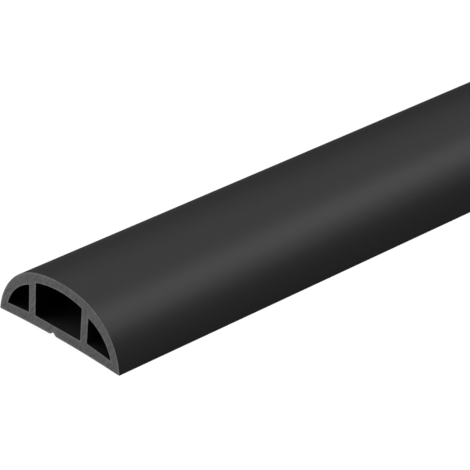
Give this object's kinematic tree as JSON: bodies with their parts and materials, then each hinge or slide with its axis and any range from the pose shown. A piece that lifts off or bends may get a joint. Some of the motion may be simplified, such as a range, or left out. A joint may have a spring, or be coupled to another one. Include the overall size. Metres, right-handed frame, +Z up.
{
  "type": "floor cord cover",
  "caption": "Low domed floor cord cover, an extruded flexible strip with side-by-side cord channels, webs between them and a slightly arched underside with a V groove.",
  "frame": {"origin": "on the floor, under the middle of the cover: bottom centre of its box", "axes": "+Y along the cover's length, away from the end that the picture shows; +X across it, towards the flank that the picture shows; +Z up from the floor"},
  "size_m": [0.0762, 0.9144, 0.029],
  "materials": {
    "black_pvc": "satin charcoal flexible PVC, with a lighter matte grey on the cut ends"
  },
  "bodies": {
    "root": {"cord_cover": "black_pvc"}
  },
  "joints": []
}
